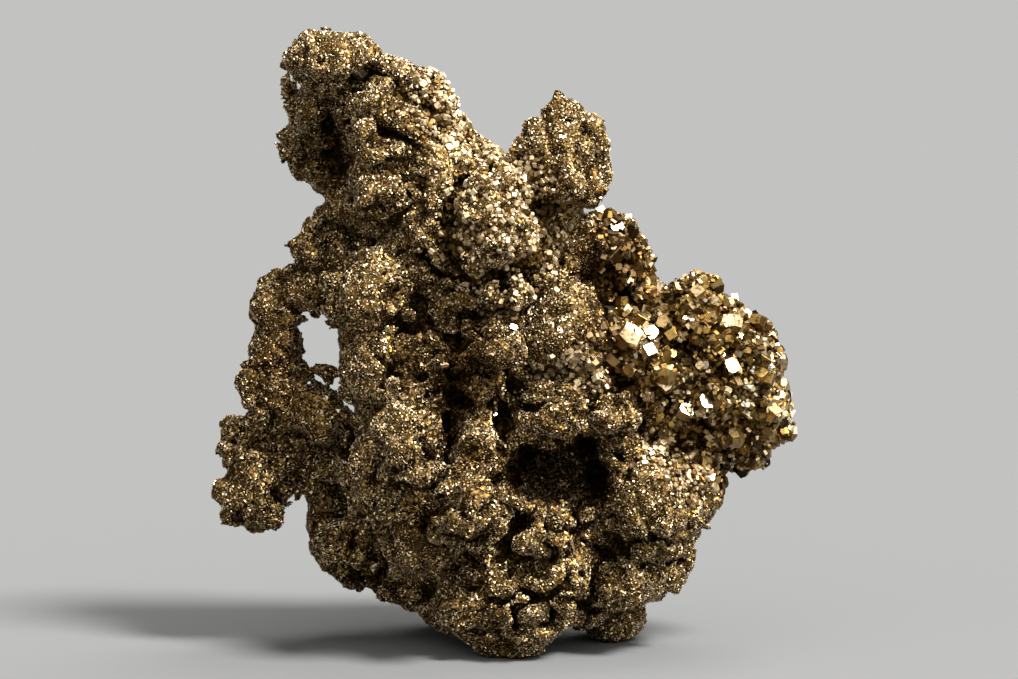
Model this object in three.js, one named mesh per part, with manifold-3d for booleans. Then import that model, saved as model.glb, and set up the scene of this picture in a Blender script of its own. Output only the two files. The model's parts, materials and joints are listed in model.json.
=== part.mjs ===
// A pyrite specimen: one free-standing mass of intergrown pyrite, nodular and pitted, with two
// horns on top, a thin arm on the left that leaves a window beside the trunk, a dark vug low in
// the front, and a cluster of coarse crystals on the right.
//
// Everything grew together, so it is one solid. Each nodule is a rough ellipsoid, and the
// nodules are joined into one body. The vug and the window are cut out of it, the coarse
// crystals are joined on, and the undersides of the lowest nodules are cut to the plane that
// the specimen stands on.
//
// Millimetres, +Z up, the front towards -Y. The origin is the middle of the underside of the
// bounding box.

import * as THREE from "three";
import { ImprovedNoise } from "three/addons/math/ImprovedNoise.js";
import { mergeVertices } from "three/addons/utils/BufferGeometryUtils.js";
import Module from "manifold-3d";

// Driving dimensions. The nodules are laid out on a mass 100 units tall.
const SPECIMEN_HEIGHT = 100;
const LAYOUT_HEIGHT = 100;
const UNIT = SPECIMEN_HEIGHT / LAYOUT_HEIGHT;

// The skin of a nodule wanders in and out by up to these depths, over these spans.
const SWELL = { span: 8, depth: 2 };
const KNURL = { span: 3.4, depth: 1.2 };

// About how long the edges of the facets are.
const FACE_EDGE = 5.3;

// Nodules: [x, y, z, half width, half depth, half height, tilt], where the tilt is in degrees,
// clockwise as seen from the front.
const TRUNK = [
  [-10, 0, 70, 12, 13, 20, -25],
  [-4, 1, 51, 23, 14, 17, 0],
  [-1, 2, 30, 26, 15, 20, 0],
  [20, 4, 42, 16, 13, 16, 0],
  [6, 6, 67, 9, 9, 9, 0],
];

const LEFT_HORN = [
  [-17, -1, 83.5, 10, 11, 13, -15],
  [-28, -4, 94.6, 8, 10, 4.6, -6],
  [-29.5, 2, 87, 6, 8, 6.5, 0],
  [-24, -4, 95.6, 4.8, 7, 3.6, 10],
  [-13.4, -1, 87.4, 7, 9, 8.4, 10],
  [-9.4, 0, 82, 4.6, 8, 6, -20],
  [-31.8, 8, 81, 5.2, 6, 6.2, -10],
  [-24.5, 5, 72, 7, 9, 8.5, 10],
  [-19, -3, 73.8, 7.2, 10.5, 6.4, 0],
  [-21.5, -9, 83.6, 4.2, 5, 3, 10],
];

const RIGHT_HORN = [
  [-3, 0, 73, 10, 12, 10, 0],
  [9.2, -2, 79, 8.4, 9, 8.6, -10],
  [10.5, -2, 85, 4.2, 6, 4, 0],
  [14.2, -1, 77, 3.2, 6, 4.6, 0],
  [10.5, -7, 75, 5.6, 7, 4.8, 0],
];

const RIGHT_SHOULDER = [
  [15, 5, 62.6, 9, 10, 9.4, -20],
  [20, 6, 61, 5.4, 8, 8, 0],
];

const RIGHT_CLUSTER = [
  [33, 2, 45.5, 12, 12, 12.4, 0],
  [31, 3, 55, 5.8, 8, 6.2, 0],
  [39.5, 3, 47.5, 5.2, 9, 7, 0],
  [39, 3, 37, 8.5, 9, 9, -25],
];

const RIGHT_FLANK = [
  [25, 2, 26, 11, 13, 11, 0],
  [24.5, 4, 16.5, 8, 11, 8.4, 0],
  [25.4, 6, 13.4, 6, 7, 6, 0],
];

const FOOT = [
  [0.5, -5, 8.6, 10.4, 11, 10.2, 0],
  [-7.5, 1, 10, 8, 10, 8.4, 0],
  [11.5, 2, 10.5, 7, 10, 8, 0],
  [18, 9, 7.8, 6, 9, 10, 0],
  [-15.5, 7, 13, 7.5, 9, 7.6, 0],
  [-5, 19, 9.6, 9, 9, 12, 0],
];

const LEFT_FLANK = [
  [-23.5, 9, 15, 8.6, 10, 8.6, -20],
  [-28.5, 9, 18.5, 5.2, 7, 6.5, 0],
  [-30, 8, 28, 7, 7, 6, 0],
  [-30, 4, 37.6, 5, 8, 5, 0],
];

const LEFT_FOOT = [
  [-41, 4, 24.6, 6.6, 7.5, 7.4, -15],
  [-42, 5, 32, 4.8, 7, 6.2, 0],
  [-35, 6, 30, 6, 6, 6, 0],
];

const LEFT_ARM = [
  [-37, 1, 40, 5.6, 7, 6.4, 0],
  [-36.8, 3, 48, 5.2, 6, 7, 0],
  [-32, 2, 45.4, 2.6, 4, 1.7, 0],
  [-28, 2, 45.2, 2.6, 4, 1.7, 0],
  [-37.4, 3, 54, 4.4, 6, 4.6, 0],
  [-33.6, 3, 58.2, 5.6, 7, 5.6, 20],
  [-29.5, 3, 63.5, 6.4, 9, 6, 30],
  [-26, 2, 60, 8, 10, 7, 0],
];

const FRONT_SWELLS = [
  [-1, -5, 66, 11.5, 13, 11, 15],
  [9, -4, 53, 9, 11.5, 9, -20],
  [-20, -3, 57.5, 9.5, 11.5, 9, 0],
  [-18, -4, 46, 9.5, 12, 8.5, 0],
  [-7, -4, 45, 9, 12, 8, 0],
  [17.5, -5, 40, 8.6, 12, 6.4, 12],
  [7, -6, 39, 6.4, 12.5, 5.4, 0],
  [23, -4, 25, 10, 12, 9, 0],
  [8, -5, 19, 9, 11.5, 6, 0],
  [-13, -4, 20, 8.5, 12, 9, -25],
];

const FRONT_NODULES = [
  [-15, -14, 34, 5.6, 9.5, 6.6, 10],
  [-4.8, -14, 34, 3.8, 9, 5.4, 0],
  [-5, -13, 23.5, 6.6, 9, 5.6, -10],
  [-20, -8, 28, 5.5, 9, 8, -10],
  [-2, -12, 49.5, 5.6, 7.5, 4.4, 10],
  [9, -9, 12.5, 6, 8, 5.4, 0],
  [20, -2, 13, 7.5, 10, 6.5, 0],
];

const BACK_NODULES = [
  [9, 15, 48, 13, 11, 12, 20],
  [-10, 14, 52, 12, 10, 12, -15],
  [-1, 18, 40, 11, 10, 8, 0],
  [-15, 14, 35, 11, 10, 10, 10],
  [14, 15, 31, 13, 11, 10, -20],
  [-7, 19, 25, 11, 9, 8, 30],
  [7, 18, 20, 10, 8, 9.5, 0],
  [25, 12, 42, 8, 8, 9, 0],
  [1, 11, 62, 8, 8, 8, 0],
  [-13, 9, 69, 10, 9, 9, -20],
  [-20, 8, 82, 7, 7, 8, 0],
];

// Hollows, in the same form, which are cut out of the joined nodules.
const HOLLOWS = {
  vug: [9, -14, 29, 8, 22, 4.8, 4],
  vugRoof: [14, -18, 34.5, 2.4, 12, 4, 15],
  window: [-29.3, 0, 49.4, 2.5, 30, 3.2, 0],
};

// The biggest crystals, which stand on the front of the right-hand side:
// [x, z, edge, turn about the upright, lean to the side], with the angles in degrees.
const COARSE_CRYSTALS = [
  [20, 51, 3.4, 20, 12],
  [23.5, 48.5, 2.6, 50, -20],
  [24, 52.5, 2.6, 10, 35],
  [27.5, 55, 2.8, 35, 5],
  [26, 44.5, 3, -15, 25],
  [29.5, 39.5, 2.8, 40, 10],
  [33, 41, 2.8, 15, -30],
  [31, 58, 2.6, 25, 20],
  [35.5, 53.5, 3, -20, 15],
  [39, 50.5, 2.6, 45, 0],
  [36, 46.5, 2.8, 5, 40],
  [41, 44.5, 2.6, 30, -15],
  [43, 38.5, 2.8, -10, 20],
  [37, 34.5, 2.6, 50, 30],
  [16.5, 65, 3.2, 30, -10],
  [19.5, 61.5, 2.8, 0, 25],
];

// How far a crystal's middle stands out of the skin, as a share of its edge.
const CRYSTAL_STAND = 0.12;

// The specimen stands on the plane z = 0, which cuts its lowest nodules flat.
const GROUND = { width: 3 * LAYOUT_HEIGHT, depth: LAYOUT_HEIGHT };

// ---------------------------------------------------------------------------------------------

const wasm = await Module();
wasm.setup();
const noise = new ImprovedNoise();

/** A geometry as a solid, with its shared corners merged. */
function solidOf(geometry) {
  const bare = new THREE.BufferGeometry();
  bare.setAttribute("position", geometry.getAttribute("position"));
  bare.setIndex(geometry.index);
  const merged = mergeVertices(bare, 1e-4);
  return new wasm.Manifold(
    new wasm.Mesh({
      numProp: 3,
      vertProperties: new Float32Array(merged.attributes.position.array),
      triVerts: new Uint32Array(merged.index.array),
    }),
  );
}

/** A solid as a geometry. */
function geometryOf(solid) {
  const { vertProperties, triVerts } = solid.getMesh();
  const geometry = new THREE.BufferGeometry();
  geometry.setAttribute("position", new THREE.BufferAttribute(vertProperties, 3));
  geometry.setIndex(new THREE.BufferAttribute(triVerts, 1));
  return geometry;
}

function join(solids) {
  return solids.reduce((whole, next) => whole.add(next));
}

/** How many times a nodule's faces are split, so that all nodules have facets of about one size. */
function detailFor(halves) {
  const girth = Math.cbrt(halves[0] * halves[1] * halves[2]);
  return Math.max(1, Math.round((1.2 * girth) / FACE_EDGE) - 1);
}

/** How far the skin stands out from the smooth ellipsoid at a point. */
function skinAt(point, { span, depth }, offset) {
  return depth * noise.noise(point.x / span + offset, point.y / span, point.z / span);
}

/** A rough ellipsoid. */
function nodule([x, y, z, halfWidth, halfDepth, halfHeight, tilt]) {
  const halves = [halfWidth, halfDepth, halfHeight];
  const geometry = new THREE.IcosahedronGeometry(1, detailFor(halves));
  geometry.scale(...halves);
  geometry.rotateY(THREE.MathUtils.degToRad(tilt));
  geometry.translate(x, y, z);
  const centre = new THREE.Vector3(x, y, z);
  const places = geometry.getAttribute("position");
  const point = new THREE.Vector3();
  for (let i = 0; i < places.count; i += 1) {
    point.fromBufferAttribute(places, i);
    const out = point.clone().sub(centre).normalize();
    point.addScaledVector(out, skinAt(point, SWELL, 0) + skinAt(point, KNURL, 7));
    places.setXYZ(i, point.x, point.y, point.z);
  }
  return solidOf(geometry);
}

/** A cube seated where a line from the front first meets the skin. */
function coarseCrystal([x, z, edge, turn, lean], skin) {
  const start = new THREE.Vector3(x, -LAYOUT_HEIGHT, z);
  const backwards = new THREE.Vector3(0, 1, 0);
  const [seat] = new THREE.Raycaster(start, backwards).intersectObject(skin);
  const middle = seat.point.addScaledVector(seat.face.normal, CRYSTAL_STAND * edge);
  const geometry = new THREE.BoxGeometry(edge, edge, edge);
  geometry.rotateZ(THREE.MathUtils.degToRad(turn));
  geometry.rotateY(THREE.MathUtils.degToRad(lean));
  geometry.translate(middle.x, middle.y, middle.z);
  return solidOf(geometry);
}

function ground() {
  const geometry = new THREE.BoxGeometry(GROUND.width, GROUND.width, GROUND.depth);
  geometry.translate(0, 0, -GROUND.depth / 2);
  return solidOf(geometry);
}

function specimenSolid() {
  const nodules = [
    TRUNK,
    LEFT_HORN,
    RIGHT_HORN,
    RIGHT_SHOULDER,
    RIGHT_CLUSTER,
    RIGHT_FLANK,
    FOOT,
    LEFT_FLANK,
    LEFT_FOOT,
    LEFT_ARM,
    FRONT_SWELLS,
    FRONT_NODULES,
    BACK_NODULES,
  ].flat();
  const mass = join(nodules.map(nodule)).subtract(join(Object.values(HOLLOWS).map(nodule)));
  const skin = new THREE.Mesh(geometryOf(mass));
  const crystals = COARSE_CRYSTALS.map((crystal) => coarseCrystal(crystal, skin));
  return mass.add(join(crystals)).subtract(ground());
}

const pyrite = new THREE.MeshStandardMaterial({
  color: new THREE.Color(0.46, 0.37, 0.23),
  roughness: 0.35,
  metalness: 1,
});

const specimen = new THREE.Mesh(geometryOf(specimenSolid()).scale(UNIT, UNIT, UNIT), pyrite);
specimen.name = "pyrite_specimen";
specimen.geometry.computeBoundingBox();
const middle = specimen.geometry.boundingBox.getCenter(new THREE.Vector3());
specimen.position.set(-middle.x, -middle.y, 0);

const part = new THREE.Group();
part.add(specimen);

export default part;
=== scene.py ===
"""A pyrite specimen: one nodular mass of grown-together pyrite with a drusy skin.

The mass takes its form from the frame's solid. Its skin is then made nodular and pitted, and it
is covered with crystals: a fine druse nearly everywhere, middling ones packed flat on the dome
between the horns, and coarse and large ones on the right-hand side. The biggest crystals are set
one by one.

The front faces -Y. Lengths are in metres, and MM turns millimetres into metres.
"""

import json
import math

import bmesh
import bpy
import numpy as np
from mathutils import Matrix, Vector
from mathutils.bvhtree import BVHTree

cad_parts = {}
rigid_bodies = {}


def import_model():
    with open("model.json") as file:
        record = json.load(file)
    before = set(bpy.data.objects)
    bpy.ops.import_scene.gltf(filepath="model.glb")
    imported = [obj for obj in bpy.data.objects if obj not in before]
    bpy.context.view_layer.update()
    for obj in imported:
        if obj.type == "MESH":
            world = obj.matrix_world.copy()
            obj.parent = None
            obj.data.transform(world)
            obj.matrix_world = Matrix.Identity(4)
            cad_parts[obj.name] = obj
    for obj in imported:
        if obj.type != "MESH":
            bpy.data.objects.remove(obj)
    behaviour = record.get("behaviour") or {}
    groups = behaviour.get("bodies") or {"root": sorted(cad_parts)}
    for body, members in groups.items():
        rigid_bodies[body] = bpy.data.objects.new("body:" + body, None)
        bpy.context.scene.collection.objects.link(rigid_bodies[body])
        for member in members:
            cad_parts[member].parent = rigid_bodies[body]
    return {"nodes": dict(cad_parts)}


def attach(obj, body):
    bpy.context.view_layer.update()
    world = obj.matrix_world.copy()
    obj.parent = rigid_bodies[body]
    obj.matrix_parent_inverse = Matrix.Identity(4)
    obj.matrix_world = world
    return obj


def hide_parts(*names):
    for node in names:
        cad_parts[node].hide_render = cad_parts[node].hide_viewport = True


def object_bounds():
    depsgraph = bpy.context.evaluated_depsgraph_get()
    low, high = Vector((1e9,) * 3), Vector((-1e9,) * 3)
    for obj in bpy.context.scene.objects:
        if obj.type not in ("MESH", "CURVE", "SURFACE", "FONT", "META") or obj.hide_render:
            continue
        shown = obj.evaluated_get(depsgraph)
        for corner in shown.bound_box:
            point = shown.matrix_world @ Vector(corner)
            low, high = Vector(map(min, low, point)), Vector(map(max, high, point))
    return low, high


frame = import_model()
cad_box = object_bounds()

MM = 0.001
NODE = "pyrite_specimen"
SEED = 7

# The mass is worked out on a grid of this step, from the solid softened on a coarser one.
STEP = 0.6 * MM
FORM_STEP = 0.8 * MM
SOFTEN_ROUNDS = 4
MASS_TRIANGLES = 190000
FEWEST_CORNERS = 5000  # anything the grid gives with fewer is a loose crumb

# How far the skin is drawn in to leave room for crystals, and where the front ends.
SHRINK = 0.3 * MM
FRONT_LIMIT = -25.6 * MM

# The groove round each nodule, and how far the forms and the edges of hollows wander.
MOAT_WIDTH = 0.5 * MM
MOAT_DEPTH = 1.8 * MM
WANDER = 7 * MM
FRAY = 4 * MM

# Painted shade: the skin and the crystals on it darken from this many millimetres under the
# softened solid, over this many more, to this share of their tone. The cavity's walls lose
# this share of it to painted shade, and of their fine druse.
SHADE_FROM = 0.9
SHADE_OVER = 2.2
DEEPEST_SHADE = 0.1
CAVITY_SHADE = 0.95
CAVITY_DRUSE_LOSS = 0.6

# The regions of each kind of skin: [x, y, z, half width, half depth, half height] of ellipsoids,
# in millimetres.
COARSE_REGIONS = [
    [34, 0, 46, 17, 18, 17],
    [20, 4, 62, 8, 16, 13],
    [23, -4, 50, 9, 16, 9],
    [38, 0, 34, 12, 14, 10],
]
MIDDLING_REGIONS = [
    [0, -8, 68, 12, 14, 15],
    [-10, -8, 88, 6, 12, 9],
    [14, -10, 48, 12, 10, 6],
    [27, -6, 30, 9, 12, 8],
]
PITTED_REGIONS = [
    [-13, -10, 34, 17, 16, 28],
    [12, -10, 16, 20, 14, 12],
    [0, 22, 45, 30, 16, 40],
]
GRAVEL_REGIONS = [[0, -10, 70, 12, 14, 13], [-11, -10, 88, 6, 12, 8]]
SMOOTH_REGIONS = [[-19, -10, 73, 8, 9, 8], [8, -14, 52, 7, 8, 7]]

# The walls of the cavity low in the front, where little light gets and shade is painted, in the same
# form.
CAVITY = [
    [7.7, -11, 29, 5, 17, 4.4],
    [3.8, -11, 30.8, 3.6, 17, 4.4],
    [12.2, -11, 33, 3.2, 17, 3],
    [14.4, -11, 28.4, 2.8, 17, 3.6],
]

# Hollows that go right through or deep in, in the same form.
HOLLOWS = [
    [-29.4, 0, 49.6, 1.6, 30, 2.7],
    [-30.3, 0, 43.4, 1, 30, 1.1],
    [-26, 0, 106.4, 16, 30, 6.9],
    [-6.5, 0, 92, 2.4, 30, 6],
    [0, -27, 0, 14, 15, 4],
    [18, -25, 0, 6, 14, 4],
    [9.2, -16, 30.2, 7, 19, 3.6],
    [-33.4, 0, 73, 4.8, 30, 2.8],
    [47.8, 0, 29, 6, 30, 5.4],
    [-49, 0, 40, 3.8, 30, 3.2],
    [39.6, 0, 25.4, 3, 30, 3],
    [26, 0, 62, 1.3, 30, 2.6],
    [-1.8, 0, 88, 2.4, 30, 4.4],
]

# Swellings that fill the outline out: [x, z, half width, half height, how far each stands out].
SWELLINGS = [
    [-33.3, 90.5, 3, 4, 0],
    [-33, 82, 4.8, 6, 0],
    [-29.8, 67.6, 2.6, 3, 0],
    [-31.8, 65, 3.2, 3.2, 0],
    [-27.5, 95.4, 8.6, 4.4, 1],
    [-39.4, 43.4, 2.6, 3.2, 0],
    [-29.8, 54, 3, 1.6, 0],
    [-33.8, 50, 1.4, 3, 0],
    [-43.2, 25, 3, 5, 0],
    [-44.2, 33, 2.4, 4, 0],
    [-32, 26.8, 3.6, 3.6, 1],
    [-24, 10.4, 5, 4.4, 0],
    [12, 83.4, 4.2, 4.2, 0.3],
    [8.8, 86.6, 3.4, 3, 0.3],
    [4.8, 82, 4, 4, 0.2],
    [30.5, 59, 4.4, 2.4, 0.4],
    [36.4, 29.4, 2.6, 1.8, 0],
]

# Nodules that stand out of the front, each in a moat: [x, z, half width, half height, how far it
# stands out].
NODULES = [
    [-21, 88.6, 4.2, 2.6, 0.8],
    [-21, 83.8, 3.6, 2.3, 1.8],
    [-18, 74.8, 6, 4.6, 0.8],
    [-1, 68.6, 8, 8.6, 2.2],
    [-2.5, 58.8, 2.6, 2.5, 2.4],
    [3, 58.8, 2.8, 2.6, 3],
    [-15.2, 53.6, 3, 2.2, 1.8],
    [-1, 50.6, 4.8, 4, 1.8],
    [-6.8, 52, 2.6, 2, 1.6],
    [-9.6, 47.8, 1.7, 1.8, 1.6],
    [-13, 47.2, 1.6, 1.4, 1.3],
    [-12.5, 43.8, 2.1, 1.4, 1.3],
    [-9, 44.4, 1.9, 1.7, 1.8],
    [-16.6, 44.8, 2.2, 1.7, 1.2],
    [7.5, 42.8, 5, 2.6, 1.4],
    [12.6, 40.8, 2.8, 1.8, 2],
    [17.5, 39.4, 5, 3.8, 1.4],
    [-14, 32.6, 5.2, 3.6, 1.2],
    [-14.6, 37, 5.4, 4.8, 3.4],
    [-6, 23.8, 5.6, 3.2, 1.2],
    [-4.6, 27.6, 5.2, 3, 3.2],
    [-4.6, 35.6, 3.3, 4.6, 4],
    [-27.5, 18.5, 3.4, 3.2, 1.2],
    [-25, 11, 3.6, 3, 1],
    [-15, 12, 4, 4.4, 0.8],
    [-39, 21.4, 3.4, 3.2, 0.8],
    [3, 26, 2, 2, 1.8],
    [8.2, 23.2, 3, 2.6, 1.5],
    [13, 23.8, 2.1, 2.5, 1.1],
    [4, 17.8, 3.6, 2.5, 1.2],
    [-3.5, 8, 5, 4, 1],
    [5.5, 8.6, 3.6, 2.6, 1.2],
    [16.5, 11, 4.5, 4, 1.2],
    [24, 17.6, 4, 3.6, 0.8],
    [27.5, 12, 3, 3, 1.2],
]

# Hollows sunk into the front: [x, z, half width, half height, depth].
FRONT_HOLLOWS = [
    [-20.8, 92.4, 3.4, 0.8, 6],
    [-26.8, 79.6, 2.2, 3.6, 6],
    [-27.8, 85, 1.6, 3, 4],
    [-32.6, 82.5, 1.8, 1.3, 3.5],
    [-19.8, 68.5, 1.9, 1.4, 5],
    [9.8, 85.2, 2, 0.7, 3],
    [12.6, 84.8, 0.9, 0.9, 2.5],
    [-2.5, 77.8, 1.3, 0.8, 3],
    [-5.8, 72.6, 1, 0.9, 3],
    [-4.9, 67.7, 1.5, 0.9, 3.5],
    [8.8, 69.4, 1.9, 3.8, 6],
    [9.6, 64, 1.6, 2.6, 4],
    [-13.4, 57, 1.7, 1.9, 4],
    [-16.8, 58.4, 0.9, 0.6, 3],
    [-11.4, 54.6, 1.1, 2.3, 4],
    [-12.7, 49.7, 0.8, 0.6, 3],
    [-15, 48.8, 1.3, 0.7, 3],
    [-13, 45.6, 1.6, 0.5, 2.5],
    [-10.7, 46, 0.5, 0.9, 2.5],
    [-24, 62.6, 0.8, 0.6, 3],
    [-32.4, 63, 0.9, 1.2, 3],
    [-6.8, 41.6, 3, 1.8, 8],
    [-9.4, 38.6, 0.8, 1.8, 6],
    [0, 38.2, 1.3, 3.2, 7],
    [-12.6, 36.3, 0.7, 0.9, 3],
    [-7.6, 30.4, 1.6, 0.9, 6],
    [8.2, 41.5, 1, 0.5, 2.5],
    [13.2, 33.8, 1.8, 1.7, 9],
    [19, 32.6, 1.6, 1.1, 5],
    [14.8, 28, 1.6, 1.8, 7],
    [3, 31.4, 1.5, 2.6, 8],
    [2, 22.6, 1.4, 1.6, 6],
    [12.8, 19, 1.2, 2.2, 6],
    [8, 12.2, 1.6, 1.2, 5],
    [10.4, 14.6, 0.7, 1, 4],
    [11, 9.6, 1.6, 0.8, 4],
    [1.2, 14.2, 1.6, 0.6, 3.5],
    [22.8, 14.6, 1.1, 0.8, 4],
    [-0.6, 5.4, 1.6, 0.9, 3.5],
    [-8.2, 13, 1.8, 1.2, 4],
    [-21, 29.2, 1.1, 0.6, 3],
    [-20.2, 26, 0.8, 0.7, 2.5],
    [-21.4, 20.4, 1.1, 1.6, 4],
    [28.4, 48.6, 2.2, 2.4, 6],
    [25.4, 41.6, 1.2, 1.2, 4],
    [15, 49.8, 1.3, 1.4, 5],
    [32.5, 43.8, 1.4, 0.8, 3],
    [42, 43.4, 3, 0.6, 3],
    [25.2, 35.6, 1.2, 0.9, 4],
    [22.5, 63.5, 1.6, 1.4, 4],
    [21.4, 68, 1.1, 0.9, 3],
]

# Crevices in the front: a half width, a depth, and the [x, z] of the points that each runs
# through.
CREVICES = [
    (0.8, 8, [(-8.9, 38.5), (-8.5, 34), (-8.2, 30.5)]),
    (0.8, 6, [(-14.5, 65), (-11.5, 62), (-7, 60.5), (-5, 59)]),
    (0.6, 4, [(-4.5, 62.2), (0, 61.6), (3.5, 62.6), (7, 61.8)]),
    (0.9, 6, [(6.5, 74), (7, 69), (8, 65), (10.5, 61.5)]),
    (1.3, 8, [(-24.9, 36), (-25, 31), (-24.6, 27), (-22.5, 22), (-20.4, 18)]),
    (0.6, 4, [(-20.2, 19), (-20.4, 14), (-20.2, 10)]),
    (0.5, 3, [(-9, 71.6), (-6, 72), (-5.6, 70), (-5.2, 68)]),
    (0.5, 3, [(-15.8, 76), (-14.8, 73.4), (-15.6, 71.5)]),
    (0.5, 3, [(-6, 56), (-5, 54.6), (-3.5, 55.6), (1, 56)]),
    (0.6, 3.5, [(-6, 46.2), (0, 46.8), (5, 47), (10, 47.4)]),
    (0.5, 3, [(-17.5, 31), (-15.8, 29), (-14.6, 26)]),
    (0.5, 3, [(-6, 21.6), (-7.4, 20), (-7, 18)]),
    (0.7, 5, [(15, 63), (18, 58), (24, 53.5)]),
]

# The biggest crystals: [x, z, edge] in millimetres, each seated where a line from the front
# meets the skin, and whether a face of it catches the light, which also paints it brighter.
BIG_CRYSTALS = [
    [20, 51.2, 3.2, True],
    [23.3, 51.4, 2.3, True],
    [23, 49, 2.2, True],
    [27.5, 54.5, 2, True],
    [26, 45, 2.6, False],
    [29, 39.5, 2.4, True],
    [32, 40.8, 2.4, True],
    [31, 58, 2.2, False],
    [36, 53.2, 2.8, True],
    [38.2, 51.2, 2, True],
    [36, 46.5, 2.2, False],
    [41, 45, 2, False],
    [43, 39, 2, False],
    [37, 35, 2.2, False],
    [17.5, 64.5, 3, False],
    [18, 68.3, 2.4, True],
    [21, 61.5, 2.4, False],
    [14, 47.5, 2, False],
    [1.5, 53.2, 1.1, True],
    [5.4, 29.8, 1.3, True],
    [-22.5, 92.7, 1.5, True],
    [-1.5, 39, 0.9, True],
]


# ---- Nodes ------------------------------------------------------------------------------------


def node(tree, kind, inputs=None, **settings):
    """A new node with its settings, and its inputs set to values or joined to sockets."""
    made = tree.nodes.new(kind)
    for name, value in settings.items():
        setattr(made, name, value)
    for key, value in (inputs or {}).items():
        if isinstance(value, bpy.types.NodeSocket):
            tree.links.new(value, made.inputs[key])
        else:
            made.inputs[key].default_value = value
    return made


def calc(tree, operation, *values, clamp=False):
    """The result of a Math node."""
    inputs = dict(enumerate(values))
    return node(tree, "ShaderNodeMath", inputs, operation=operation, use_clamp=clamp).outputs[0]


def ramp(tree, factor, *stops):
    """A colour ramp through (place, colour) stops."""
    made = node(tree, "ShaderNodeValToRGB", {0: factor})
    elements = made.color_ramp.elements
    while len(elements) < len(stops):
        elements.new(0.5)
    for element, (place, colour) in zip(elements, stops):
        element.position = place
        element.color = (*colour, 1)
    return made.outputs[0]


# ---- Materials --------------------------------------------------------------------------------

# From the darkest pyrite to the brightest. The darkest three also paint the shade on the skin
# between the crystals.
BLACKENED_AND_SHADE = (0.02, 0.012, 0.005)
SHADED = (0.065, 0.039, 0.013)
TARNISHED_AND_SHADE = (0.28, 0.174, 0.048)
BRONZED = (0.575, 0.452, 0.278)
BRIGHT = (0.9, 0.83, 0.68)

# Places painted darker, a painted shade where shadow falls on them: a centre and a reach in
# millimetres, and how much.
PAINTED_SHADE_PLACES = [
    ((20, -10, 65), 12, 0.8),
    ((16, -15, 53), 7, 0.5),
    ((-4, -18, 48), 9, 0.5),
    ((-29, -4, 80), 8, 0.5),
    ((9, -14, 66), 5, 0.5),
    ((8, -8, 30), 10, 0.5),
    ((-7, -14, 41), 4, 0.5),
    ((-38, -2, 48), 14, 0.22),
    ((-41, -3, 28), 12, 0.16),
]


def new_material(name):
    material = bpy.data.materials.new(name)
    material.use_nodes = True
    tree = material.node_tree
    shader = tree.nodes["Principled BSDF"]
    shader.inputs["Metallic"].default_value = 1.0
    return material, tree, shader


def patina_and_shade(tree, colour):
    """The colour, browner in soft patches some 12 mm across, with painted shade round the listed
    shaded places.
    """
    place = node(tree, "ShaderNodeTexCoord").outputs["Object"]
    patches = node(tree, "ShaderNodeTexNoise", {"Vector": place, "Scale": 85.0, "Detail": 3.0})
    clean_less_shade = patches.outputs["Fac"]
    # Painted shade: each listed place is darkened, most towards its middle.
    for centre, reach, most in PAINTED_SHADE_PLACES:
        away = node(
            tree,
            "ShaderNodeVectorMath",
            {0: place, 1: [along * MM for along in centre]},
            operation="DISTANCE",
        ).outputs["Value"]
        painted_shade = node(
            tree,
            "ShaderNodeMapRange",
            {0: away, 1: 0.4 * reach * MM, 2: reach * MM, 3: most, 4: 0.0},
        ).outputs[0]
        clean_less_shade = calc(tree, "SUBTRACT", clean_less_shade, painted_shade)
    tint_and_shade = ramp(
        tree,
        clean_less_shade,
        (0.0, (0.34, 0.28, 0.22)),
        (0.35, (0.74, 0.69, 0.63)),
        (0.65, (1.0, 1.0, 1.0)),
    )
    mixed = node(
        tree,
        "ShaderNodeMix",
        {"Factor": 1.0, "A": colour, "B": tint_and_shade},
        data_type="RGBA",
        blend_type="MULTIPLY",
    )
    return mixed.outputs["Result"]


def crystal_material(name, dark_share, dull, glossy, pitting=0.0):
    """Metallic crystals, each with a tone of its own from blackened to bright, which also carries
    painted light and shade.

    dark_share of the tones are darker than bronze, dull and glossy are the roughness of the
    darkest and of the brightest, and pitting is how much the etched specks darken them.
    """
    material, tree, shader = new_material(name)
    tone = node(tree, "ShaderNodeAttribute", attribute_name="tone").outputs["Fac"]
    colour = ramp(
        tree,
        tone,
        (0.0, BLACKENED_AND_SHADE),
        (dark_share * 0.5, TARNISHED_AND_SHADE),
        (dark_share, BRONZED),
        (0.9, BRONZED),
        (1.0, BRIGHT),
    )
    if pitting:
        place = node(tree, "ShaderNodeTexCoord").outputs["Object"]
        specks = node(
            tree,
            "ShaderNodeTexNoise",
            {"Vector": place, "Scale": 1400.0, "Detail": 4.0, "Roughness": 0.7},
        ).outputs["Fac"]
        etched = ramp(tree, specks, (0.36, (1 - pitting,) * 3), (0.5, (1.0, 1.0, 1.0)))
        colour = node(
            tree,
            "ShaderNodeMix",
            {"Factor": 1.0, "A": colour, "B": etched},
            data_type="RGBA",
            blend_type="MULTIPLY",
        ).outputs["Result"]
        bump = node(
            tree, "ShaderNodeBump", {"Strength": 0.5, "Distance": 0.1 * MM, "Height": specks}
        )
        tree.links.new(bump.outputs[0], shader.inputs["Normal"])
    tree.links.new(patina_and_shade(tree, colour), shader.inputs["Base Color"])
    gloss = node(
        tree,
        "ShaderNodeMapRange",
        {"Value": tone, "To Min": dull, "To Max": glossy},
    )
    tree.links.new(gloss.outputs[0], shader.inputs["Roughness"])
    return material


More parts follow.
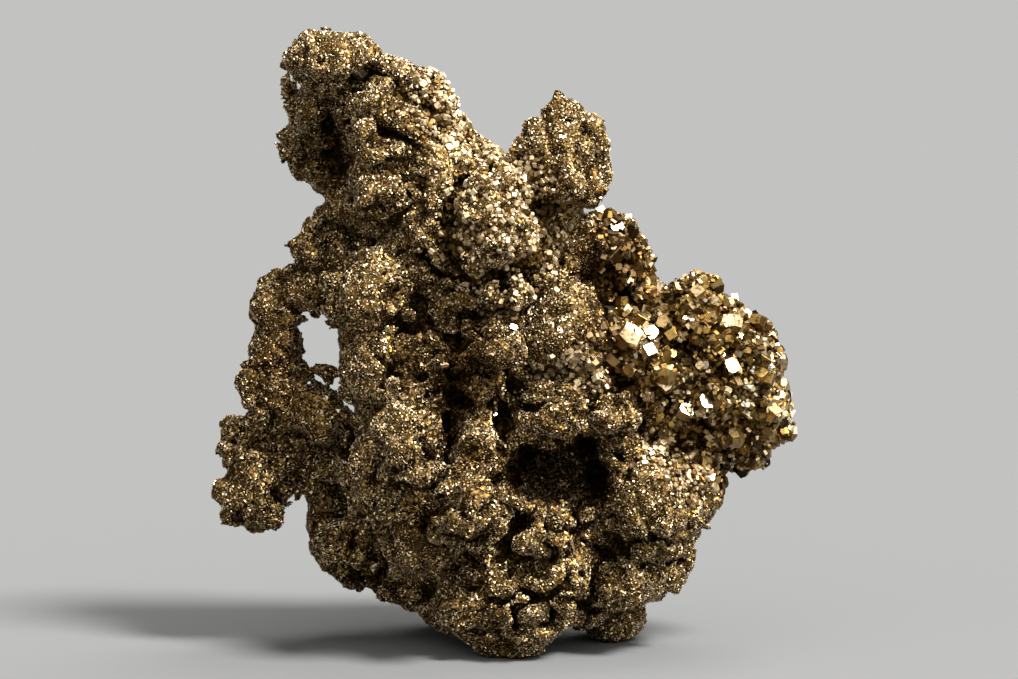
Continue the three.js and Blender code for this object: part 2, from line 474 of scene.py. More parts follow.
def mass_material():
    """The skin under the druse: painted dark as the shade between the crystals, painted darker where
    it is sunk, and broken into tiny faces.
    """
    material, tree, shader = new_material("pyrite_mass_skin")
    place = node(tree, "ShaderNodeTexCoord").outputs["Object"]
    cells = node(tree, "ShaderNodeTexVoronoi", {"Vector": place, "Scale": 2200.0})
    tone = node(tree, "ShaderNodeSeparateColor", {"Color": cells.outputs["Color"]}).outputs[0]
    # Painted shade: the skin's tone falls where it lies sunk.
    unshaded = node(tree, "ShaderNodeAttribute", attribute_name="open").outputs["Fac"]
    tone = calc(tree, "MULTIPLY", tone, unshaded)
    # Painted shade: the skin's colours are near black, as the shade in the gaps between the
    # crystals.
    colour = ramp(tree, tone, (0.0, BLACKENED_AND_SHADE), (0.6, SHADED), (1.0, TARNISHED_AND_SHADE))
    tree.links.new(patina_and_shade(tree, colour), shader.inputs["Base Color"])
    away = node(
        tree,
        "ShaderNodeVectorMath",
        {0: place, 1: cells.outputs["Position"]},
        operation="SUBTRACT",
    )
    lean = node(
        tree,
        "ShaderNodeVectorMath",
        {0: cells.outputs["Color"], 1: (0.5, 0.5, 0.5)},
        operation="SUBTRACT",
    )
    height = node(
        tree,
        "ShaderNodeVectorMath",
        {0: away.outputs[0], 1: lean.outputs[0]},
        operation="DOT_PRODUCT",
    )
    bump = node(
        tree,
        "ShaderNodeBump",
        {"Strength": 1.0, "Distance": 1.0, "Height": height.outputs["Value"]},
    )
    tree.links.new(bump.outputs[0], shader.inputs["Normal"])
    shader.inputs["Roughness"].default_value = 0.42
    return material


# ---- The mass ---------------------------------------------------------------------------------


def place_object(name, mesh):
    made = bpy.data.objects.new(name, mesh)
    bpy.context.scene.collection.objects.link(made)
    return made


def settle_modifiers(piece):
    """Turns what the piece's modifiers make into its own mesh."""
    graph = bpy.context.evaluated_depsgraph_get()
    settled = bpy.data.meshes.new_from_object(piece.evaluated_get(graph), depsgraph=graph)
    piece.modifiers.clear()
    piece.data = settled


def inside(points, regions):
    """How far each point is inside the nearest of the regions: 1 at a middle, 0 at an edge."""
    nearest = np.full(len(points), -1.0)
    for x, y, z, *halves in regions:
        away = (points / MM - np.array([x, y, z])) / np.array(halves)
        nearest = np.maximum(nearest, 1 - np.linalg.norm(away, axis=1))
    return nearest


def corner_array(mesh):
    points = np.empty(len(mesh.vertices) * 3)
    mesh.vertices.foreach_get("co", points)
    return points.reshape(-1, 3)


def depth_inside(tree, place, region):
    """Nodes for how deep a place lies inside an ellipsoid, in metres."""
    away = node(
        tree,
        "ShaderNodeVectorMath",
        {0: place, 1: [n * MM for n in region[:3]]},
        operation="SUBTRACT",
    ).outputs[0]
    spread = node(
        tree, "ShaderNodeVectorMath", {0: away, 1: [n * MM for n in region[3:]]}, operation="DIVIDE"
    ).outputs[0]
    length = node(tree, "ShaderNodeVectorMath", {0: spread}, operation="LENGTH").outputs["Value"]
    return calc(tree, "MULTIPLY", calc(tree, "SUBTRACT", 1.0, length), min(region[3:]) * MM)


def weight_inside(tree, place, regions, edge=2.5):
    """Nodes for 1 inside the regions and 0 outside, over an edge in millimetres."""
    total = None
    for region in regions:
        depth = calc(tree, "DIVIDE", depth_inside(tree, place, region), edge * MM, clamp=True)
        total = depth if total is None else calc(tree, "MAXIMUM", total, depth)
    return total


def nearest_seat(find, x, z):
    """The skin behind a place in the front view, or behind the first place towards the middle."""
    place, middle = Vector((x, z)), Vector((0, 50))
    while find(*place) is None:
        place += (middle - place).normalized()
    return find(*place).y / MM


def front_finder(piece):
    """A function that gives the point of the piece's front at x and z, in millimetres."""
    tree = BVHTree.FromObject(piece, bpy.context.evaluated_depsgraph_get())

    def find(x, z):
        return tree.ray_cast(Vector((x * MM, -0.2, z * MM)), Vector((0, 1, 0)))[0]

    return find


def front_hollows(find):
    return [
        [x, find(x, z).y / MM, z, half_width, depth, half_height]
        for x, z, half_width, half_height, depth in FRONT_HOLLOWS
    ]


def front_lumps(find, lumps):
    placed = []
    for x, z, half_width, half_height, stand in lumps:
        half_depth = max(half_width, half_height)
        y = nearest_seat(find, x, z) - stand + half_depth
        placed.append([x, y, z, half_width, half_depth, half_height])
    return placed


def crevice_sheets(find):
    """A sheet standing in each crevice, from above the skin down to the crevice's bottom."""
    sheets = bmesh.new()
    wide = sheets.verts.layers.float.new("wide")
    for half_width, depth, points in CREVICES:
        last = None
        for number, (x, z) in enumerate(points):
            hit = find(x, z)
            pair = []
            for y in (hit.y - 4 * MM, hit.y + depth * MM):
                corner = sheets.verts.new((x * MM, y, z * MM))
                corner[wide] = half_width * MM * (0.5 if number in (0, len(points) - 1) else 1.0)
                pair.append(corner)
            if last:
                sheets.faces.new((last[0], last[1], pair[1], pair[0]))
            last = pair
    mesh = bpy.data.meshes.new("crevice_sheets")
    sheets.to_mesh(mesh)
    sheets.free()
    return mesh


def shift(tree, place, noise, reach):
    """Nodes for a place moved by a noise, by half the reach at most along each axis."""
    moved = node(
        tree,
        "ShaderNodeVectorMath",
        {0: noise.outputs["Color"], 1: (reach,) * 3, 2: place},
        operation="MULTIPLY_ADD",
    ).outputs[0]
    return node(
        tree, "ShaderNodeVectorMath", {0: moved, 1: (reach / 2,) * 3}, operation="SUBTRACT"
    ).outputs[0]


def outside_form(tree, place, form):
    """Nodes for how far a place is outside the softened solid, which is below 0 inside it."""
    solid = node(tree, "GeometryNodeObjectInfo", {"Object": form}).outputs["Geometry"]
    near = node(tree, "GeometryNodeProximity", {"Target": solid}, target_element="FACES")
    facing = node(tree, "GeometryNodeInputNormal").outputs[0]
    there = node(
        tree,
        "GeometryNodeSampleNearestSurface",
        {"Mesh": solid, "Value": facing},
        data_type="FLOAT_VECTOR",
    ).outputs[0]
    away = node(
        tree, "ShaderNodeVectorMath", {0: place, 1: near.outputs["Position"]}, operation="SUBTRACT"
    ).outputs[0]
    side = node(tree, "ShaderNodeVectorMath", {0: away, 1: there}, operation="DOT_PRODUCT")
    side = calc(tree, "SIGN", side.outputs["Value"])
    return calc(tree, "MULTIPLY", near.outputs["Distance"], side)


def add_swellings(tree, outside, place, swellings):
    """Nodes that let the swellings run into the form."""
    for swelling in swellings:
        height = calc(tree, "MULTIPLY", depth_inside(tree, place, swelling), -1.0)
        outside = calc(tree, "SMOOTH_MIN", outside, height, 0.8 * MM)
    return outside


def add_nodules(tree, outside, place, nodules):
    """Nodes that stand each nodule in a moat of its own."""
    for nodule in nodules:
        depth = depth_inside(tree, place, nodule)
        moat = calc(
            tree,
            "MINIMUM",
            calc(tree, "ADD", depth, MOAT_WIDTH),
            calc(tree, "ADD", outside, MOAT_DEPTH),
        )
        outside = calc(tree, "MAXIMUM", outside, moat)
        outside = calc(tree, "MINIMUM", outside, calc(tree, "MULTIPLY", depth, -1.0))
    return outside


def cells(tree, place, span, depth, feature="F1", distance="EUCLIDEAN"):
    """Nodes for lumps, one to a cell. These four take their spans and depths in millimetres."""
    made = node(
        tree,
        "ShaderNodeTexVoronoi",
        {"Vector": place, "Scale": 1 / (span * MM)},
        feature=feature,
        distance=distance,
    )
    rise = calc(tree, "SUBTRACT", 0.5, made.outputs["Distance"])
    return calc(tree, "MULTIPLY", rise, depth * MM)


def waves(tree, place, span, depth):
    """Nodes for soft rises and dips."""
    noise = node(
        tree,
        "ShaderNodeTexNoise",
        {"Vector": place, "Scale": 1 / (span * MM), "Detail": 2.0, "Roughness": 0.6},
    )
    rise = calc(tree, "SUBTRACT", noise.outputs["Fac"], 0.5)
    return calc(tree, "MULTIPLY", rise, depth * MM)


def pits(tree, place, span, low, high, depth):
    """Nodes for pits that start where a noise passes low and are deepest where it passes high."""
    noise = node(
        tree, "ShaderNodeTexNoise", {"Vector": place, "Scale": 1 / (span * MM), "Detail": 1.0}
    )
    return node(
        tree,
        "ShaderNodeMapRange",
        {0: noise.outputs["Fac"], 1: low, 2: high, 3: 0.0, 4: depth * MM},
        interpolation_type="SMOOTHSTEP",
    ).outputs[0]


def cracks(tree, place, span, width, depth):
    """Nodes for grooves along some of the edges between cells."""
    made = node(
        tree,
        "ShaderNodeTexVoronoi",
        {"Vector": place, "Scale": 1 / (span * MM)},
        feature="DISTANCE_TO_EDGE",
    )
    groove = node(
        tree,
        "ShaderNodeMapRange",
        {0: made.outputs["Distance"], 1: 0.0, 2: width / span, 3: depth * MM, 4: 0.0},
    ).outputs[0]
    some = pits(tree, place, span * 1.7, 0.42, 0.58, 1 / MM)
    return calc(tree, "MULTIPLY", groove, some)


def relief_nodes(tree, place, warp):
    """Nodes for how far the skin stands out, with what each kind of region adds and takes."""
    coarse = weight_inside(tree, place, COARSE_REGIONS)
    pitted = weight_inside(tree, place, PITTED_REGIONS, 4)
    gravel = weight_inside(tree, place, GRAVEL_REGIONS)
    smooth = weight_inside(tree, place, SMOOTH_REGIONS)
    rough = calc(tree, "SUBTRACT", 1.0, calc(tree, "MULTIPLY", smooth, 0.7))
    pitting = calc(tree, "MULTIPLY_ADD", pitted, 0.65, 0.35)

    raised = [
        calc(tree, "MULTIPLY", rough, cells(tree, warp, 6.0, 1.8, "SMOOTH_F1")),
        calc(tree, "MULTIPLY", rough, cells(tree, warp, 2.7, 1.1)),
        waves(tree, place, 1.6, 0.8),
        calc(tree, "MULTIPLY", gravel, cells(tree, warp, 1.9, 1.6)),
        calc(tree, "MULTIPLY", coarse, cells(tree, warp, 3.4, 2.0, "F1", "CHEBYCHEV")),
    ]
    sunk = [
        calc(tree, "MULTIPLY", pitting, pits(tree, warp, 2.3, 0.56, 0.64, 3.4)),
        calc(tree, "MULTIPLY", rough, cracks(tree, warp, 5.5, 0.9, 2.2)),
        calc(tree, "MULTIPLY", gravel, cracks(tree, warp, 2.3, 0.6, 1.8)),
        SHRINK,
    ]
    relief = waves(tree, place, 14.0, 2.2)
    for part in raised:
        relief = calc(tree, "ADD", relief, part)
    for part in sunk:
        relief = calc(tree, "SUBTRACT", relief, part)
    return relief


def cut_hollows(tree, outside, place, hollows):
    """Nodes that take the hollows out."""
    for hollow in hollows:
        outside = calc(tree, "SMOOTH_MAX", outside, depth_inside(tree, place, hollow), 0.4 * MM)
    return outside


def cut_crevices(tree, outside, place, sheets, uneven):
    """Nodes that take out what is nearer to a crevice's sheet than its uneven half width."""
    sheet = node(tree, "GeometryNodeObjectInfo", {"Object": sheets}).outputs["Geometry"]
    away = node(
        tree,
        "GeometryNodeProximity",
        {"Target": sheet, "Source Position": place},
        target_element="FACES",
    ).outputs["Distance"]
    wide = node(tree, "GeometryNodeInputNamedAttribute", {"Name": "wide"}).outputs["Attribute"]
    width = node(
        tree,
        "GeometryNodeSampleNearestSurface",
        {"Mesh": sheet, "Value": wide, "Sample Position": place},
        data_type="FLOAT",
    ).outputs[0]
    width = calc(tree, "MULTIPLY", width, uneven)
    return calc(tree, "MAXIMUM", outside, calc(tree, "SUBTRACT", width, away))


def skin_nodes(tree, outside):
    """Nodes for the closed skin where outside is 0, without loose crumbs and closed bubbles."""
    # The grid holds 1 at the skin, 2 from a millimetre inside, and 0 from a millimetre outside.
    density = calc(tree, "SUBTRACT", 1.0, calc(tree, "DIVIDE", outside, MM))
    density = calc(tree, "MINIMUM", calc(tree, "MAXIMUM", density, 0.0), 2.0)
    low, high = cad_box
    margin = 2 * MM
    counts = [math.ceil((b - a + 2 * margin) / STEP) for a, b in zip(low, high)]
    grid = node(
        tree,
        "GeometryNodeVolumeCube",
        {
            "Density": density,
            "Min": [a - margin for a in low],
            "Max": [a - margin + n * STEP for a, n in zip(low, counts)],
            "Resolution X": counts[0],
            "Resolution Y": counts[1],
            "Resolution Z": counts[2],
        },
    ).outputs[0]
    skin = node(
        tree, "GeometryNodeVolumeToMesh", {"Volume": grid, "Threshold": 1.0, "Adaptivity": 0.0}
    ).outputs[0]
    island = node(tree, "GeometryNodeInputMeshIsland").outputs["Island Index"]
    corners = node(
        tree,
        "GeometryNodeAccumulateField",
        {"Value": 1, "Group ID": island},
        data_type="INT",
        domain="POINT",
    ).outputs["Total"]
    return node(
        tree,
        "GeometryNodeDeleteGeometry",
        {0: skin, 1: calc(tree, "LESS_THAN", corners, FEWEST_CORNERS)},
        domain="POINT",
    ).outputs[0]


def mass_nodes(form, sheets, swellings, nodules, hollows):
    """Geometry nodes for the mass: how far each place is outside it, and its skin."""
    tree = bpy.data.node_groups.new("mass", "GeometryNodeTree")
    tree.interface.new_socket("Geometry", in_out="OUTPUT", socket_type="NodeSocketGeometry")
    place = node(tree, "GeometryNodeInputPosition").outputs[0]
    height = node(tree, "ShaderNodeSeparateXYZ", {0: place}).outputs["Z"]
    wander = node(tree, "ShaderNodeTexNoise", {"Vector": place, "Scale": 160.0, "Detail": 3.0})
    warp = shift(tree, place, wander, WANDER)
    frays = node(tree, "ShaderNodeTexNoise", {"Vector": place, "Scale": 420.0, "Detail": 2.0})
    ragged = shift(tree, warp, frays, FRAY)

    outside = outside_form(tree, place, form)
    outside = add_swellings(tree, outside, warp, swellings)
    outside = add_nodules(tree, outside, warp, nodules)

    # The relief fades out towards the underside, which stays flat.
    standing = calc(tree, "DIVIDE", height, 5 * MM, clamp=True)
    relief = calc(tree, "MULTIPLY", relief_nodes(tree, place, warp), standing)
    outside = calc(tree, "SUBTRACT", outside, relief)

    # Nothing stands further to the front than the limit.
    forward = node(tree, "ShaderNodeSeparateXYZ", {0: warp}).outputs["Y"]
    ahead = calc(tree, "SUBTRACT", FRONT_LIMIT, forward)
    outside = calc(tree, "SMOOTH_MAX", outside, ahead, 1.5 * MM)

    outside = cut_hollows(tree, outside, ragged, hollows)
    uneven = calc(tree, "MULTIPLY_ADD", frays.outputs["Fac"], 2.4, -0.2)
    outside = cut_crevices(tree, outside, ragged, sheets, uneven)

    # It ends at the plane that it stands on.
    outside = calc(tree, "MAXIMUM", outside, calc(tree, "MULTIPLY", height, -1.0))
    node(tree, "NodeGroupOutput", {0: skin_nodes(tree, outside)})
    return tree


def share_out(mesh):
    """Stores, at each corner of the mass, how much of each size of crystal grows there."""
    points = corner_array(mesh)
    wobble = np.sin(points @ np.array([900, 700, 1100])) * 0.08
    coarse = np.clip((inside(points, COARSE_REGIONS) + wobble) * 6, 0, 1)
    middling = np.clip((inside(points, MIDDLING_REGIONS) + wobble) * 4, 0, 1) * (1 - coarse)
    fine = (1 - np.maximum(coarse, middling * 0.5)) * (1 - CAVITY_DRUSE_LOSS * in_cavity(points))
    for name, values in (
        ("coarse", coarse),
        ("middling", middling),
        ("fine", fine),
    ):
        mesh.attributes.new(name, "FLOAT", "POINT").data.foreach_set("value", values)


def in_cavity(points):
    """1 on the walls of the cavity and 0 outside it."""
    return np.clip(inside(points, CAVITY) * 8, 0, 1)


def store_sunk_shade(mesh, form):
    """Stores at each corner of the mass how open it lies, for painted shade: less, the deeper it is
    sunk.
    """
    tree = BVHTree.FromObject(form, bpy.context.evaluated_depsgraph_get())
    unshaded_share = np.ones(len(mesh.vertices))
    for number, corner in enumerate(mesh.vertices):
        place, away, _, _ = tree.find_nearest(corner.co)
        sunk = (place - corner.co).dot(away) / MM
        unshaded_share[number] = min(max(1 - (sunk - SHADE_FROM) / SHADE_OVER, DEEPEST_SHADE), 1)
    # Painted shade on the walls of the cavity.
    unshaded_share *= 1 - CAVITY_SHADE * in_cavity(corner_array(mesh))
    mesh.attributes.new("open", "FLOAT", "POINT").data.foreach_set("value", unshaded_share)


def make_form():
    """The frame's solid with its facets softened."""
    mesh = frame["nodes"][NODE].data.copy()
    shell = bmesh.new()
    shell.from_mesh(mesh)
    bmesh.ops.remove_doubles(shell, verts=shell.verts, dist=0.001 * MM)
    shell.to_mesh(mesh)
    shell.free()
    form = place_object("form", mesh)
    remesh = form.modifiers.new("skin", "REMESH")
    remesh.mode = "VOXEL"
    remesh.voxel_size = FORM_STEP
    soften = form.modifiers.new("soften", "SMOOTH")
    soften.iterations = SOFTEN_ROUNDS
    settle_modifiers(form)
    return form


def make_mass():
    """The mass, with what its materials and crystals need stored at its corners."""
    form = make_form()
    find = front_finder(form)
    sheets = place_object("crevices", crevice_sheets(find))
    mass = place_object("pyrite_mass", bpy.data.meshes.new("pyrite_mass"))
    growth = mass.modifiers.new("growth", "NODES")
    growth.node_group = mass_nodes(
        form,
        sheets,
        front_lumps(find, SWELLINGS),
        front_lumps(find, NODULES),
        HOLLOWS + front_hollows(find),
    )
    settle_modifiers(mass)
    triangles = sum(len(p.vertices) - 2 for p in mass.data.polygons)
    if triangles > MASS_TRIANGLES:
        thin = mass.modifiers.new("thin", "DECIMATE")
        thin.ratio = MASS_TRIANGLES / triangles
        settle_modifiers(mass)
    store_sunk_shade(mass.data, form)
    for helper in (form, sheets):
        bpy.data.objects.remove(helper)
    mass.data.materials.clear()
    mass.data.materials.append(mass_material())
    mass.data.shade_smooth()
    share_out(mass.data)
    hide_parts(NODE)
    return mass


# ---- Crystals ---------------------------------------------------------------------------------


def shape_mesh(name, build):
    """A crystal one unit across, from a function that fills a bmesh."""
    shape = bmesh.new()
    build(shape)
    mesh = bpy.data.meshes.new(name)
    shape.to_mesh(mesh)
    shape.free()
    return mesh


def cube(shape):
    """A plain cube."""
    bmesh.ops.create_cube(shape, size=1.0)


def cube_corner(shape):
    """The part of a cube that stands out when it grows corner first."""
    bmesh.ops.create_cone(
        shape, cap_ends=True, cap_tris=False, segments=3, radius1=0.75, radius2=0.0, depth=0.7
    )


def pyramid(shape):
    """The upper half of an octahedron."""
    bmesh.ops.create_cone(
        shape, cap_ends=True, cap_tris=False, segments=4, radius1=0.6, radius2=0.0, depth=0.6
    )


def cut_cube(shape):
    """A cube with its corners cut, as where cube and octahedron faces meet."""
    bmesh.ops.create_cube(shape, size=1.0)
    bmesh.ops.bevel(
        shape,
        geom=shape.verts[:],
        offset=0.22,
        segments=1,
        profile=0.5,
        affect="VERTICES",
        material=-1,
    )


def worn_cube(shape):
    """A cube with narrow flats along its edges."""
    bmesh.ops.create_cube(shape, size=1.0)
    bmesh.ops.bevel(
        shape,
        geom=shape.edges[:],
        offset=0.05,
        segments=1,
        profile=0.5,
        affect="EDGES",
        material=-1,
    )


def pyritohedron(shape):
    """A cube with a low roof on each face, which makes twelve five-sided faces."""
    rise = 0.32
    for a in (-0.5, 0.5):
        for b in (-0.5, 0.5):
            for c in (-0.5, 0.5):
                shape.verts.new((a, b, c))
            along = b * (1 - rise * rise)
            shape.verts.new((0, a * (1 + rise), along))
            shape.verts.new((along, 0, a * (1 + rise)))
            shape.verts.new((a * (1 + rise), along, 0))
    bmesh.ops.convex_hull(shape, input=shape.verts[:])


def seat_nodes(tree, mass, spacing, share, keep):
    """Nodes for the crystals' seats on the skin between two heights, and how each is turned."""
    skin = node(tree, "GeometryNodeObjectInfo", {"Object": mass}).outputs["Geometry"]
    amount = node(tree, "GeometryNodeInputNamedAttribute", {"Name": share}).outputs["Attribute"]
    seats = node(
        tree,
        "GeometryNodeDistributePointsOnFaces",
        {
            "Mesh": skin,
            "Distance Min": spacing * MM,
            "Density Max": 4.0 / (spacing * MM) ** 2,
            "Density Factor": amount,
            "Seed": SEED,
        },
        distribute_method="POISSON",
    )
    low, high = keep
    place = node(tree, "GeometryNodeInputPosition").outputs[0]
    height = node(tree, "ShaderNodeSeparateXYZ", {0: place}).outputs["Z"]
    above = calc(tree, "GREATER_THAN", height, low * MM)
    below = calc(tree, "LESS_THAN", height, high * MM)
    kept = node(
        tree,
        "GeometryNodeSeparateGeometry",
        {0: seats.outputs["Points"], 1: calc(tree, "MULTIPLY", above, below)},
        domain="POINT",
    ).outputs["Selection"]
    return kept, seats.outputs["Rotation"]


def draw(tree, kind, low, high, seed, index=None):
    """Nodes for a random value between low and high, drawn for each index."""
    least, most, result = {"FLOAT_VECTOR": (0, 1, 0), "FLOAT": (2, 3, 1), "INT": (4, 5, 2)}[kind]
    inputs = {least: low, most: high, "Seed": seed}
    if index is not None:
        inputs["ID"] = index
    return node(tree, "FunctionNodeRandomValue", inputs, data_type=kind).outputs[result]


def scale_nodes(tree, index, size, squat):
    """Nodes for a crystal's size, mostly near the small end, and its proportions."""
    low, high = size
    grown = draw(tree, "FLOAT", 0.0, 1.0, SEED + 3, index)
    across = node(
        tree,
        "ShaderNodeMapRange",
        {"Value": calc(tree, "POWER", grown, 1.6), "To Min": low * MM, "To Max": high * MM},
    ).outputs[0]
    flattest, longest = squat
    shaped = draw(tree, "FLOAT_VECTOR", (flattest,) * 3, (longest,) * 3, SEED + 5, index)
    return node(
        tree, "ShaderNodeVectorMath", {0: shaped, "Scale": across}, operation="SCALE"
    ).outputs[0]


def druse_nodes(mass, shapes, spacing, size, squat, tilt, share, keep):
    """Geometry nodes that grow crystals all over the skin of the mass.

    Spacing and size are in millimetres, squat is how flat and how long they may be for their
    size, tilt is how far they lean, in radians, share names the attribute that says how much
    grows where, and keep is the (low, high) heights that the crystals' seats lie between.
    """
    tree = bpy.data.node_groups.new("druse", "GeometryNodeTree")
    tree.interface.new_socket("Geometry", in_out="OUTPUT", socket_type="NodeSocketGeometry")
    seats, standing = seat_nodes(tree, mass, spacing, share, keep)
    index = node(tree, "GeometryNodeInputIndex").outputs[0]
    crystals = node(
        tree,
        "GeometryNodeCollectionInfo",
        {"Collection": shapes, "Separate Children": True, "Reset Children": True},
    ).outputs[0]
    pick = draw(tree, "INT", 0, len(shapes.objects) - 1, SEED + 1, index)
    lean = (-tilt, -tilt, 0.0), (tilt, tilt, math.tau)
    spin = draw(tree, "FLOAT_VECTOR", *lean, SEED + 2, index)
    turned = node(
        tree, "FunctionNodeRotateRotation", {0: standing, 1: spin}, rotation_space="LOCAL"
    ).outputs[0]
    grown = node(
        tree,
        "GeometryNodeInstanceOnPoints",
        {
            "Points": seats,
            "Instance": crystals,
            "Pick Instance": True,
            "Instance Index": pick,
            "Rotation": turned,
            "Scale": scale_nodes(tree, index, size, squat),
        },
    ).outputs[0]

    # Each crystal has a tone of its own, with painted shade where it is sunk.
    unshaded = node(tree, "GeometryNodeInputNamedAttribute", {"Name": "open"}).outputs["Attribute"]
    tone = calc(tree, "MULTIPLY", draw(tree, "FLOAT", 0.0, 1.0, SEED + 4), unshaded)
    toned = node(
        tree,
        "GeometryNodeStoreNamedAttribute",
        {"Geometry": grown, "Name": "tone", "Value": tone},
        data_type="FLOAT",
        domain="INSTANCE",
    ).outputs[0]
    real = node(tree, "GeometryNodeRealizeInstances", {0: toned}).outputs[0]
    node(tree, "NodeGroupOutput", {0: real})
    return tree


def shape_collection(name, *builders):
    """The shapes that a kind of crystal is picked from."""
    shapes = bpy.data.collections.new(name)
    for number, build in enumerate(builders):
        made = shape_mesh(f"{name}_{number}", build)
        shapes.objects.link(bpy.data.objects.new(f"{name}_{number}", made))
    return shapes


def grow_druse(name, mass, shapes, material, *habit):
    """One piece of crystals, with the habit that druse_nodes takes."""
    druse = place_object(name, bpy.data.meshes.new(name))
    growth = druse.modifiers.new("growth", "NODES")
    growth.node_group = druse_nodes(mass, shapes, *habit)
    settle_modifiers(druse)
    druse.data.materials.clear()
    druse.data.materials.append(material)
    druse.data.shade_flat()
    return druse


def light_facing():
    """The way a face looks that throws the key light to the front."""
    return (Vector(KEY_FROM).normalized() + Vector((0, -1, 0.07)).normalized()).normalized()


def big_crystals(mass, material):
    """The crystals that are set one by one."""
    rng = np.random.default_rng(SEED)
    find = front_finder(mass)
    cluster = bmesh.new()
    tone = cluster.verts.layers.float.new("tone")
    for x, z, edge, lit in BIG_CRYSTALS:
        hit = find(x, z)
        shape = bmesh.new()
        (worn_cube, cut_cube, pyritohedron)[rng.integers(3)](shape)
        mesh = bpy.data.meshes.new("big")
        shape.to_mesh(mesh)
        shape.free()
        turn = Matrix.Rotation(rng.uniform(0, math.tau), 4, "Z")
        if lit:
            turn = light_facing().to_track_quat("Z", "Y").to_matrix().to_4x4() @ turn
        else:
            tip = Vector((rng.uniform(-1, 1), rng.uniform(-1, -0.2), rng.uniform(-1, 1)))
            turn = tip.to_track_quat("Z", "Y").to_matrix().to_4x4() @ turn
        stretch = [edge * MM * rng.uniform(0.8, 1.1) for _ in range(3)]
        seat = hit + Vector((0, 0.15 * edge * MM, 0))
        mesh.transform(Matrix.Translation(seat) @ turn @ Matrix.Diagonal((*stretch, 1)))
        before = len(cluster.verts)
        cluster.from_mesh(mesh)
        cluster.verts.ensure_lookup_table()
        # Painted light and shade: a crystal turned to throw the key light gets a brighter tone, the
        # others a darker one.
        shade = 0.8 if lit else rng.uniform(0.3, 0.7)
        for corner in cluster.verts[before:]:
            corner[tone] = shade
        bpy.data.meshes.remove(mesh)
    made = bpy.data.meshes.new("big_crystals")
    cluster.to_mesh(made)
    cluster.free()
    made.materials.append(material)
    return place_object("big_crystals", made)


# ---- Making it --------------------------------------------------------------------------------

KEY_FROM = (0.62, -0.5, 1.1)

mass = make_mass()
pieces = [mass]

fine_shapes = shape_collection("fine_shapes", cube_corner, pyramid, cube_corner, cube_corner)
middling_shapes = shape_collection(
    "middling_shapes", cut_cube, worn_cube, pyritohedron, worn_cube
)
coarse_shapes = shape_collection("coarse_shapes", cube, cut_cube, pyritohedron, cube)
large_shapes = shape_collection("large_shapes", worn_cube, cut_cube, pyritohedron, worn_cube)

fine_material = crystal_material("fine_druse", 0.4, 0.66, 0.5)
middling_material = crystal_material("middling_crystals", 0.25, 0.7, 0.58, 0.65)
coarse_material = crystal_material("coarse_crystals", 0.88, 0.42, 0.28, 0.8)

# Each kind's habit: spacing, size, squat, tilt, share. The fine druse has too many crystals for
# one piece, so it is made in slabs, between heights in millimetres.
MIDDLING_HABIT = (0.78, (0.65, 1.35), (0.45, 0.9), 0.45, "middling")
COARSE_HABIT = (0.68, (0.5, 1.2), (0.5, 1.4), 0.8, "coarse")
LARGE_HABIT = (2.5, (1.0, 2.1), (0.7, 1.2), 0.8, "coarse")
FINE_HABIT = (0.345, (0.27, 0.52), (0.6, 1.5), 0.8, "fine")
EVERYWHERE = (-10, 200)
SLABS = [(0.6, 17), (17, 29), (29, 41), (41, 54), (54, 74), (74, 120)]

GROWTHS = [
    ("middling_crystals", middling_shapes, middling_material, MIDDLING_HABIT, EVERYWHERE),
    ("coarse_crystals", coarse_shapes, coarse_material, COARSE_HABIT, EVERYWHERE),
    ("large_crystals", large_shapes, coarse_material, LARGE_HABIT, EVERYWHERE),
]
for number, slab in enumerate(SLABS):
    GROWTHS.append((f"fine_druse_{number + 1}", fine_shapes, fine_material, FINE_HABIT, slab))
for name, shapes, material, habit, keep in GROWTHS:
    pieces.append(grow_druse(name, mass, shapes, material, *habit, keep))
pieces.append(big_crystals(mass, coarse_material))

for piece in pieces:
    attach(piece, "root")
    piece.data.update()


# ---- Floor, light and camera ------------------------------------------------------------------

# The floor's colour, and the backdrop's, which is as pale as the floor looks under the lights.
PALE = (0.104, 0.104, 0.103)
BACKDROP = (0.541, 0.541, 0.535)


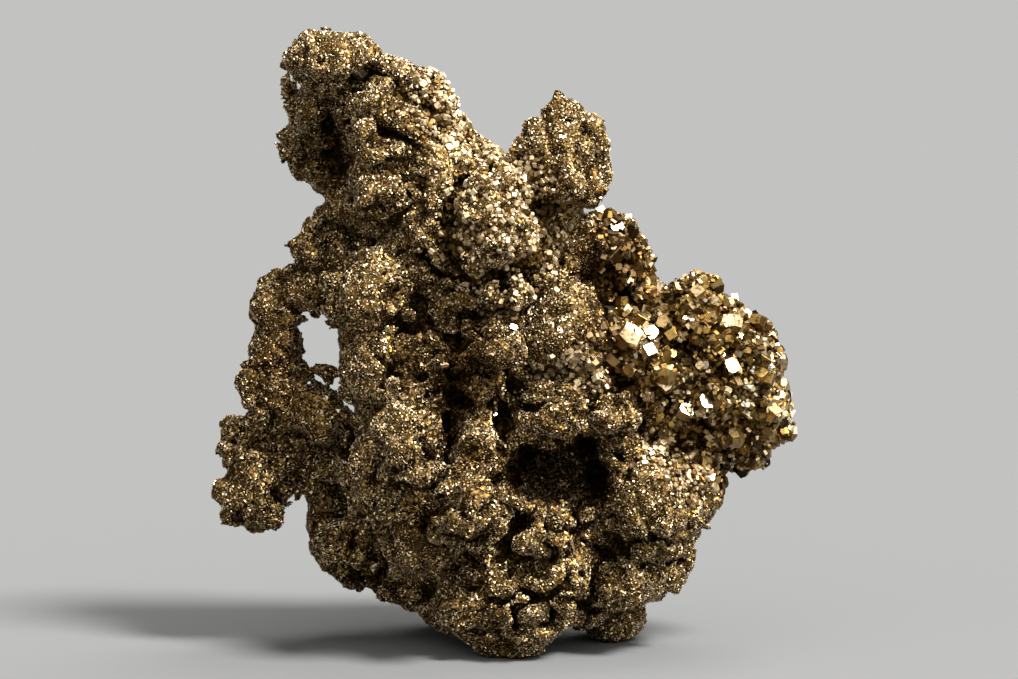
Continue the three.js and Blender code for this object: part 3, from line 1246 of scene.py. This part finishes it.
def make_floor():
    """A floor so wide that its edge is far off."""
    sheet = bmesh.new()
    bmesh.ops.create_grid(sheet, x_segments=1, y_segments=1, size=30.0)
    mesh = bpy.data.meshes.new("floor")
    sheet.to_mesh(mesh)
    sheet.free()
    floor = place_object("floor", mesh)
    material = bpy.data.materials.new("pale_floor")
    material.use_nodes = True
    tree = material.node_tree
    matt = node(tree, "ShaderNodeBsdfDiffuse", {"Color": (*PALE, 1)})
    tree.links.new(matt.outputs[0], tree.nodes["Material Output"].inputs["Surface"])
    mesh.materials.append(material)


def soft_sun(name, source, width, power):
    """A light so far off that it lights the floor evenly, and so wide that it is soft."""
    light = bpy.data.lights.new(name, "SUN")
    light.angle = math.radians(width)
    light.energy = power
    lamp = bpy.data.objects.new(name, light)
    bpy.context.scene.collection.objects.link(lamp)
    lamp.rotation_euler = Vector(source).to_track_quat("Z", "Y").to_euler()


def light_scene():
    """Soft lights all round, and a backdrop as pale as the floor that throws little light."""
    world = bpy.data.worlds.new("studio")
    bpy.context.scene.world = world
    world.use_nodes = True
    tree = world.node_tree
    dim = tree.nodes["Background"]
    dim.inputs["Color"].default_value = (1.0, 0.86, 0.64, 1)
    dim.inputs["Strength"].default_value = 0.03
    pale = node(tree, "ShaderNodeBackground", {"Color": (*BACKDROP, 1), "Strength": 1.0})
    seen = node(tree, "ShaderNodeLightPath").outputs["Is Camera Ray"]
    both = node(tree, "ShaderNodeMixShader", {0: seen, 1: dim.outputs[0], 2: pale.outputs[0]})
    tree.links.new(both.outputs[0], tree.nodes["World Output"].inputs["Surface"])
    soft_sun("key", KEY_FROM, 16, 12)
    soft_sun("broad", (0.4, -0.6, 0.9), 120, 5.2)
    soft_sun("fill", (-0.8, -0.5, 0.5), 36, 0.4)
    soft_sun("top", (0.3, 0.3, 0.9), 30, 2.5)


def make_camera():
    """A long lens, a little above level, that looks at the front."""
    camera = bpy.data.cameras.new("camera")
    camera.lens = 100
    camera.sensor_width = 36
    camera.clip_start = 0.01
    eye = bpy.data.objects.new("camera", camera)
    bpy.context.scene.collection.objects.link(eye)
    aim = Vector((0.9 * MM, 0, 50.2 * MM))
    rise = math.radians(4)
    away = 459 * MM
    eye.location = aim + Vector((0, -math.cos(rise) * away, math.sin(rise) * away))
    eye.rotation_euler = (aim - eye.location).to_track_quat("-Z", "Y").to_euler()
    bpy.context.scene.camera = eye


make_floor()
light_scene()
make_camera()
bpy.context.scene.view_settings.view_transform = "Standard"
